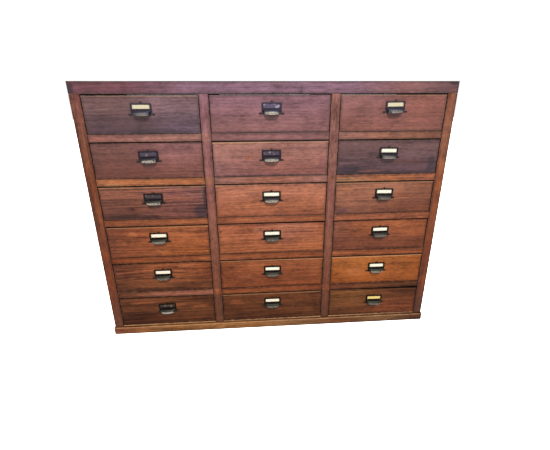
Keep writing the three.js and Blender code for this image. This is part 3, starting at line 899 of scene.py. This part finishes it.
def head_points(radius, x, z, slot_angle=None):
    """A dome head on a pull. A square grid (s, t) goes to a disc, a = s sqrt(1 - t^2 / 2) and
    b = t sqrt(1 - s^2 / 2), its height falls off as 1 - (a^2 + b^2), and it sinks where |s| is inside
    the slot."""
    rise, sink, half_slot, seat = 1.0 * MM, 0.6 * MM, 0.13, 1.25 * MM
    s = np.array([-1, -0.96, -0.85, -0.65, -0.4, -half_slot - 0.015, -half_slot, 0,
                  half_slot, half_slot + 0.015, 0.4, 0.65, 0.85, 0.96, 1])
    grid_s, grid_t = np.meshgrid(s, np.linspace(-1, 1, 13), indexing="ij")
    a = grid_s * np.sqrt(1 - grid_t**2 / 2)
    b = grid_t * np.sqrt(1 - grid_s**2 / 2)
    height = rise * (1 - 0.75 * (a * a + b * b))
    if slot_angle is not None:
        height -= sink * (np.abs(grid_s) <= half_slot + 1e-6)
    turn = math.radians(slot_angle or 0)
    across = x + radius * (a * math.cos(turn) - b * math.sin(turn))
    upward = z + radius * (a * math.sin(turn) + b * math.cos(turn))
    front = np.stack([across, -seat - height, upward], axis=-1)
    back = np.stack([across, np.full_like(across, -seat), upward], axis=-1)
    return between(front, back)


def card_points(bow):
    """A card in its window: a thin board whose middle stands forward by bow (1 - (x / w)^2)."""
    low, high = (-25.7 * MM, -1.5 * MM, -6.05 * MM), (25.7 * MM, -1.06 * MM, 6.05 * MM)
    points, faces, _ = rounded_board(low, high, 0.12 * MM, 5 * MM)
    points[:, Y] -= bow * (1 - (points[:, X] / high[X]) ** 2)
    return points, faces


def pull_origin(place):
    """The middle of a pull's card on the wood: the pull is even about it from side to side, and its
    tab reaches 15.5 mm above it."""
    low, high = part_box(f"pull_{place}")
    return Vector(((low.x + high.x) / 2, high.y, high.z - TAB_REACH))


def placed_on_pull(mesh, place):
    """Keeps each point's place on its own pull as an attribute, then puts the mesh on its drawer."""
    count = len(mesh.vertices)
    own = np.empty(count * 3, np.float32)
    mesh.vertices.foreach_get("co", own)
    values = {"lip_polish": LIP_HIGHLIGHTS.get(place, 0.3), "row_height": 1 - (int(place[0]) - 1) / 5}
    mesh.attributes.new("own_place", "FLOAT_VECTOR", "POINT").data.foreach_set("vector", own)
    for name, value in values.items():
        level = np.full(count, value, np.float32)
        mesh.attributes.new(name, "FLOAT", "POINT").data.foreach_set("value", level)
    turn = Matrix.Rotation(math.radians(TURNED.get(place, 0.0)), 4, "Y")
    mesh.transform(Matrix.Translation(pull_origin(place)) @ turn)
    return mesh


# ---- Operators ----


class CABINET_OT_add_top(bpy.types.Operator):
    """Add the top rail and the top board behind it"""

    bl_idname = "cabinet.add_top"
    bl_label = "Top"

    def execute(self, context):
        add_carcass_board("top_rail", 1.3)
        add_carcass_board("top_board", 2.1, boards=TOP_BOARD_WIDTH)
        return {"FINISHED"}


class CABINET_OT_add_uprights(bpy.types.Operator):
    """Add the two sides and the two dividers, whose front edges are the stiles"""

    bl_idname = "cabinet.add_uprights"
    bl_label = "Sides and dividers"

    def execute(self, context):
        under_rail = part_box("top_rail")[0].z - 0.3 * MM
        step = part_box("top_rail")[1].y + 0.15 * MM
        foot_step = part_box("bottom_board")[1].z + 0.3 * MM
        for seed, name in enumerate(("side_left", "side_right", "divider_left", "divider_right")):
            low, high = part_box(name)
            look = CARCASS_LOOKS[name]
            divider = name.startswith("divider")
            if divider:
                middle = (low.x + high.x) / 2 / MM
                half = (high.x - low.x) / 2 / MM - 1
                rails = {row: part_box(f"rail_{row}_left") for row in CROSSINGS}
                look.square = [
                    (tone, middle, rails[row][1].z / MM - 12, half, 12, 0.9)
                    for row, tone in CROSSINGS.items()]
            def notched(points, low=low, high=high, divider=divider):
                """Lowers the head under the top rail, and for a divider lifts the foot behind it."""
                points = points.copy()
                forward = points[:, Y] < step
                head = np.where(forward, under_rail, high.z)
                foot = np.where(forward | (not divider), low.z, foot_step)
                share = (points[:, Z] - low.z) / (high.z - low.z)
                points[:, Z] = foot + share * (head - foot)
                return points

            add_carcass_board(name, seed + 3.4, Z, boards=0 if divider else SIDE_BOARD_WIDTH,
                              raw=4 * MM if divider else None, reshape=notched,
                              extra=((), (step - 0.1 * MM, step + 0.1 * MM), ()))
        return {"FINISHED"}


class CABINET_OT_add_bottom_and_base(bpy.types.Operator):
    """Add the bottom board, notched for the dividers, and the base board"""

    bl_idname = "cabinet.add_bottom_and_base"
    bl_label = "Bottom and base"

    def execute(self, context):
        low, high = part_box("bottom_board")
        posts = [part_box("divider_left"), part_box("divider_right")]
        gap = 0.3 * MM
        behind = context.scene.cabinet_sizes.rail_depth + FRONT + gap
        edges = [x for a, b in posts for x in (a.x - gap, a.x - 1.1 * gap, b.x + gap, b.x + 1.1 * gap)]

        def notched(points):
            """Moves the front edge back behind each divider."""
            points = points.copy()
            inside = np.zeros(len(points), bool)
            for a, b in posts:
                inside |= (points[:, X] > a.x - 1.05 * gap) & (points[:, X] < b.x + 1.05 * gap)
            front = np.where(inside, behind, low.y)
            share = (high.y - points[:, Y]) / (high.y - low.y)
            points[:, Y] = high.y - share * (high.y - front)
            return points

        add_carcass_board("bottom_board", 8.2, raw=12 * MM, reshape=notched, extra=(edges, (), ()))
        add_carcass_board("base_board", 9.7, slot="base_wood", boards=SIDE_BOARD_WIDTH, radius=2 * MM)
        return {"FINISHED"}


class CABINET_OT_add_back(bpy.types.Operator):
    """Add the back, boarded upright with V joints"""

    bl_idname = "cabinet.add_back"
    bl_label = "Back"

    def execute(self, context):
        low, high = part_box("back_panel")
        count = context.scene.cabinet_sizes.back_boards
        joints = np.linspace(low.x, high.x, count + 1)[1:-1]
        half = 2.2 * MM
        extra = np.concatenate([joints + offset * half for offset in (-1.3, -1, 0, 1, 1.3)])
        wood = raw_wood("back_pine", Z, "pine", "aged_pine", 5.5, 0.3 * MM)
        add_board("back_panel", low, high, wood, "carcass", "inner_wood", ["back_panel"], 5.5,
                  radius=0.8 * MM, extra=(extra, (), ()),
                  reshape=lambda points: grooved(points, joints, 1.6 * MM, half))
        return {"FINISHED"}


class CABINET_OT_add_rails(bpy.types.Operator):
    """Add the fifteen rails, each with the dust board that the drawer above slides on"""

    bl_idname = "cabinet.add_rails"
    bl_label = "Rails and dust boards"

    def execute(self, context):
        scene = context.scene
        dust_wood = raw_wood("dust_board_pine", X, "pine", "aged_pine", 6.6)
        for seed, (place, look) in enumerate(RAIL_LOOKS.items()):
            low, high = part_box(f"rail_{place}")
            behind = low.y + scene.cabinet_sizes.rail_depth
            front_high = (high.x, behind - 0.1 * MM, high.z)
            wood = polished_wood(f"rail_wood_{place}", low, front_high, X, look, scene.cabinet_finish,
                                 seed * 1.37 + 10, raw=14 * MM)
            add_board(f"rail_{place}", low, front_high, wood, "carcass", "rail_wood",
                      [f"rail_{place}"], seed)
            dust_low = (low.x, behind + 0.1 * MM, high.z - scene.cabinet_sizes.dust_thickness)
            add_board(f"dust_board_{place}", dust_low, high, dust_wood, "carcass", "inner_wood",
                      [f"rail_{place}"], seed, radius=0.6 * MM)
        return {"FINISHED"}


class CABINET_OT_add_drawers(bpy.types.Operator):
    """Add the eighteen drawers, each from a front, two sides, a back and a bottom"""

    bl_idname = "cabinet.add_drawers"
    bl_label = "Drawers"

    def execute(self, context):
        scene = context.scene
        sizes = scene.cabinet_sizes
        side_wood = raw_wood("drawer_side_pine", Y, "pine", "aged_pine", 7.1)
        back_wood = raw_wood("drawer_back_pine", X, "pine", "aged_pine", 7.9)
        bottom_wood = raw_wood("drawer_bottom_pine", X, "pine", "walnut", 8.8)
        for seed, (place, look) in enumerate(DRAWER_LOOKS.items()):
            body, nodes = f"drawer_{place}", [f"drawer_box_{place}"]
            low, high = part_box(nodes[0])
            pull_low, pull_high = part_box(f"pull_{place}")
            # A painted shadow of the hood: the front is painted darker just under its pull.
            hood_shadow = ("dusk" if place[0] in "12" else "peat" if place[0] in "34" else "bog",
                       (pull_low.x + pull_high.x) / 2 / MM, pull_low.z / MM - 1, 24, 9, 0.6)
            self.add_front(place, low, high, look.plus(hood_shadow), seed, scene)
            left, right = low.x + 1.2 * MM, high.x - 1.2 * MM
            begin = low.y + sizes.front_thickness + 0.05 * MM
            thick, head = sizes.side_thickness, low.z + sizes.side_height
            ends = {"left": (left, left + thick), "right": (right - thick, right)}
            for side, (x0, x1) in ends.items():
                add_board(f"drawer_side_{side}_{place}", (x0, begin, low.z), (x1, high.y, head),
                          side_wood, body, "inner_wood", nodes, seed, radius=0.8 * MM)
            inner = left + thick + 0.1 * MM, right - thick - 0.1 * MM
            foot = low.z + 5.1 * MM
            floor = foot + sizes.bottom_thickness
            add_board(f"drawer_back_{place}", (inner[0], high.y - thick, floor + 0.1 * MM),
                      (inner[1], high.y - 0.2 * MM, foot + sizes.back_height), back_wood, body,
                      "inner_wood", nodes, seed, radius=0.8 * MM)
            add_board(f"drawer_bottom_{place}", (inner[0], begin, foot), (inner[1], high.y, floor),
                      bottom_wood, body, "inner_wood", nodes, seed, radius=0.6 * MM)
        return {"FINISHED"}

    def add_front(self, place, low, high, look, seed, scene):
        back = low.y + scene.cabinet_sizes.front_thickness
        far = (high.x, back, high.z)
        wood = polished_wood(f"drawer_front_wood_{place}", low, far, X, look, scene.cabinet_finish,
                             seed * 2.17 + 30, raw=9 * MM)

        def leaning(points):
            """Planes the top edge down towards the right end."""
            points = points.copy()
            share = (points[:, X] - low.x) / (high.x - low.x)
            rise = (points[:, Z] - low.z) / (high.z - low.z)
            points[:, Z] -= rise * share * look.lean * MM
            return points

        add_board(f"drawer_front_{place}", low, far, wood, f"drawer_{place}", "drawer_wood",
                  [f"drawer_box_{place}"], seed, reshape=leaning)


class CABINET_OT_add_pulls(bpy.types.Operator):
    """Add the eighteen pulls with their screws and pins"""

    bl_idname = "cabinet.add_pulls"
    bl_label = "Pulls"

    def execute(self, context):
        metal = blackened_metal(context.scene.cabinet_finish)
        steel = screw_metal()
        blank = pull_mesh(context.scene.cabinet_sizes)
        if len(blank.vertices) < 1000:
            raise RuntimeError("the parts of the pull didn't join")
        for number, place in enumerate(PLACES):
            mesh = placed_on_pull(blank.copy(), place)
            finished_piece(f"pull_{place}", mesh, metal, f"drawer_{place}",
                           [f"pull_{place}"], 38)
            heads = {
                "screw_left": head_points(SCREW_RADIUS, -EAR_ACROSS, EAR_UP, 20 + 53 * number),
                "screw_right": head_points(SCREW_RADIUS, EAR_ACROSS, EAR_UP, 71 + 53 * number),
                "pin": head_points(PIN_RADIUS, 0, PIN_UP),
            }
            for name, (points, faces) in heads.items():
                blank_head = bare_object("head_blank", points, faces)
                mesh = placed_on_pull(blank_head.data, place)
                bpy.data.objects.remove(blank_head)
                finished_piece(f"{name}_{place}", mesh, steel, f"drawer_{place}",
                               [f"pull_{place}"], 38)
        return {"FINISHED"}


class CABINET_OT_add_cards(bpy.types.Operator):
    """Add the thirteen paper cards"""

    bl_idname = "cabinet.add_cards"
    bl_label = "Cards"

    def execute(self, context):
        papers = {tone: card_paper(tone, seed) for seed, tone in enumerate(CARD_COLOURS)}
        for number, place in enumerate(PLACES):
            if place in EMPTY_FRAMES:
                continue
            bow = (0.25 + 0.3 * math.sin(number * 1.9) ** 2) * MM
            card = bare_object("card_blank", *card_points(bow))
            mesh = placed_on_pull(card.data, place)
            bpy.data.objects.remove(card)
            finished_piece(f"card_{place}", mesh, papers[CARD_TONES.get(place, "ivory")],
                           f"drawer_{place}", (), 60)
        return {"FINISHED"}


class CABINET_OT_add_stage(bpy.types.Operator):
    """Add the floor, the lights and the camera"""

    bl_idname = "cabinet.add_stage"
    bl_label = "Floor, lights and camera"

    def execute(self, context):
        scene = context.scene
        self.add_floor(scene)
        self.add_lights(scene)
        self.add_camera(scene)
        scene.view_settings.view_transform = "Standard"
        return {"FINISHED"}

    def add_floor(self, scene):
        """A flat disc of rings of radius r, with its edge far outside any view."""
        angle = np.linspace(0, 2 * np.pi, 64, endpoint=False)
        radii = np.array([0.5, 2, 6, 14, 30.0])
        rings = [np.stack([r * np.cos(angle), r * np.sin(angle), np.full(64, -0.2 * MM)], axis=1)
                 for r in radii]
        number = np.arange(len(radii) * 64).reshape(len(radii), 64)
        wrapped = np.concatenate([number, number[:, :1]], axis=1)
        faces = quads(wrapped).tolist() + [number[0].tolist()]
        floor = bare_object("floor", np.concatenate(rings), faces)
        paint = Paint("pale_floor")
        mottle = paint.noise(paint.place, 3.0, 3.0)
        shade = (*[c * 0.98 for c in scene.cabinet_finish.floor], 1)
        colour = paint.mix(mottle, shade, (*scene.cabinet_finish.floor, 1))
        floor.data.materials.append(paint.surface(colour, 0.9, Specular_IOR_Level=0.0))

    def add_lights(self, scene):
        world = bpy.data.worlds.new("pale_room")
        world.use_nodes = True
        background = world.node_tree.nodes["Background"]
        background.inputs["Color"].default_value = (1.0, 1.0, 1.0, 1.0)
        background.inputs["Strength"].default_value = 1.04
        scene.world = world
        lamps = {
            "window": ("SUN", (1.5, -10, 11.2), 10.5, 0.22, (1.0, 0.97, 0.94)),
            "overhead": ("AREA", (0.0, 0.1, 2.6), 15.0, 1.6, (1.0, 0.98, 0.95)),
        }
        for name, (kind, place, power, size, colour) in lamps.items():
            lamp = bpy.data.lights.new(name, kind)
            lamp.energy, lamp.color = power, colour
            setattr(lamp, "angle" if kind == "SUN" else "size", size)
            holder = bpy.data.objects.new(name, lamp)
            holder.location = place
            aim = Vector((0, FRONT, 0.45)) - Vector(place)
            holder.rotation_euler = aim.to_track_quat("-Z", "Y").to_euler()
            scene.collection.objects.link(holder)

    def add_camera(self, scene):
        """A wide lens at a standing person's height, looking down at the cabinet and turned slightly
        to the right."""
        data = bpy.data.cameras.new("camera")
        data.lens, data.sensor_width = 21.39, 36.0
        data.clip_start, data.clip_end = 0.02, 100.0
        camera = bpy.data.objects.new("camera", data)
        heading, pitch, roll = math.radians(4.06), math.radians(19.77), math.radians(-0.31)
        forward = Vector((math.sin(heading) * math.cos(pitch), math.cos(heading) * math.cos(pitch),
                          -math.sin(pitch)))
        level = Vector((math.cos(heading), -math.sin(heading), 0))
        above = level.cross(forward)
        right = math.cos(roll) * level + math.sin(roll) * above
        up = math.cos(roll) * above - math.sin(roll) * level
        turn = Matrix((right, up, -forward)).transposed().to_4x4()
        camera.matrix_world = Matrix.Translation((-0.0655, FRONT - 1.0803, 0.8138)) @ turn
        scene.collection.objects.link(camera)
        scene.camera = camera


class CABINET_PT_build(bpy.types.Panel):
    """Lists the pieces of the cabinet and the stage"""

    bl_idname = "CABINET_PT_build"
    bl_label = "Apothecary Cabinet"
    bl_space_type = "VIEW_3D"
    bl_region_type = "UI"
    bl_category = "Cabinet"

    def draw(self, context):
        for group in (context.scene.cabinet_sizes, context.scene.cabinet_finish):
            box = self.layout.box()
            for name in group.bl_rna.properties.keys():
                if name not in ("rna_type", "name"):
                    box.prop(group, name)
        for operator in OPERATORS:
            self.layout.operator(operator.bl_idname)


OPERATORS = (
    CABINET_OT_add_top,
    CABINET_OT_add_uprights,
    CABINET_OT_add_bottom_and_base,
    CABINET_OT_add_back,
    CABINET_OT_add_rails,
    CABINET_OT_add_drawers,
    CABINET_OT_add_pulls,
    CABINET_OT_add_cards,
    CABINET_OT_add_stage,
)
CLASSES = (CabinetSizes, CabinetFinish, *OPERATORS, CABINET_PT_build)


def register():
    for each in CLASSES:
        bpy.utils.register_class(each)
    bpy.types.Scene.cabinet_sizes = PointerProperty(type=CabinetSizes)
    bpy.types.Scene.cabinet_finish = PointerProperty(type=CabinetFinish)


def unregister():
    del bpy.types.Scene.cabinet_finish
    del bpy.types.Scene.cabinet_sizes
    for each in reversed(CLASSES):
        bpy.utils.unregister_class(each)


def main():
    register()
    bpy.ops.cabinet.add_top()
    bpy.ops.cabinet.add_uprights()
    bpy.ops.cabinet.add_bottom_and_base()
    bpy.ops.cabinet.add_back()
    bpy.ops.cabinet.add_rails()
    bpy.ops.cabinet.add_drawers()
    bpy.ops.cabinet.add_pulls()
    bpy.ops.cabinet.add_cards()
    bpy.ops.cabinet.add_stage()


if __name__ == "__main__":
    main()
